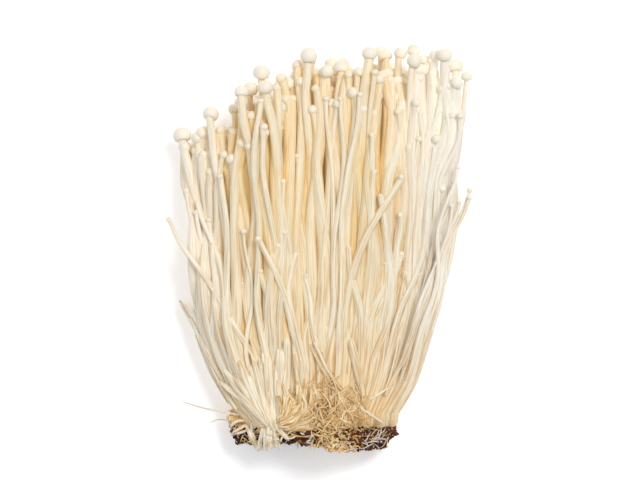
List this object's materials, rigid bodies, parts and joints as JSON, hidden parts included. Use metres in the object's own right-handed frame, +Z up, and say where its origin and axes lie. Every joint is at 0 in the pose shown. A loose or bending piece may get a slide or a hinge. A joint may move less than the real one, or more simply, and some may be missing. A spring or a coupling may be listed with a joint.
{
  "type": "enoki mushroom bunch",
  "caption": "Bunch of enoki mushrooms lying on its side: slender pale stems with small round caps fan out of a fibrous root mat with crumbly brown substrate",
  "frame": {"origin": "on the table, under the middle of the lying bunch", "axes": "+X across the fan of stems, +Y along the stems from the roots to the caps, +Z up from the table"},
  "size_m": [0.1108, 0.1506, 0.0436],
  "materials": {
    "flesh": "smooth, moist, slightly translucent ivory mushroom flesh",
    "root_mat": "fibrous matt tan root mat",
    "substrate": "crumbly matt brown sawdust substrate"
  },
  "bodies": {
    "root": {"substrate_crust": "substrate", "root_mat": "root_mat", "heart_tuft": "flesh", "under_tuft_01": "flesh", "under_tuft_02": "flesh", "under_tuft_03": "flesh", "under_tuft_04": "flesh", "under_tuft_05": "flesh", "under_tuft_06": "flesh", "under_tuft_07": "flesh", "under_tuft_08": "flesh", "upper_tuft_01": "flesh", "upper_tuft_02": "flesh", "upper_tuft_03": "flesh", "upper_tuft_04": "flesh", "upper_tuft_05": "flesh", "upper_tuft_06": "flesh", "upper_tuft_07": "flesh", "upper_tuft_08": "flesh", "upper_tuft_09": "flesh", "upper_tuft_10": "flesh", "upper_tuft_11": "flesh", "upper_tuft_12": "flesh", "upper_tuft_13": "flesh", "upper_tuft_14": "flesh", "upper_tuft_15": "flesh", "upper_tuft_16": "flesh"}
  },
  "joints": []
}
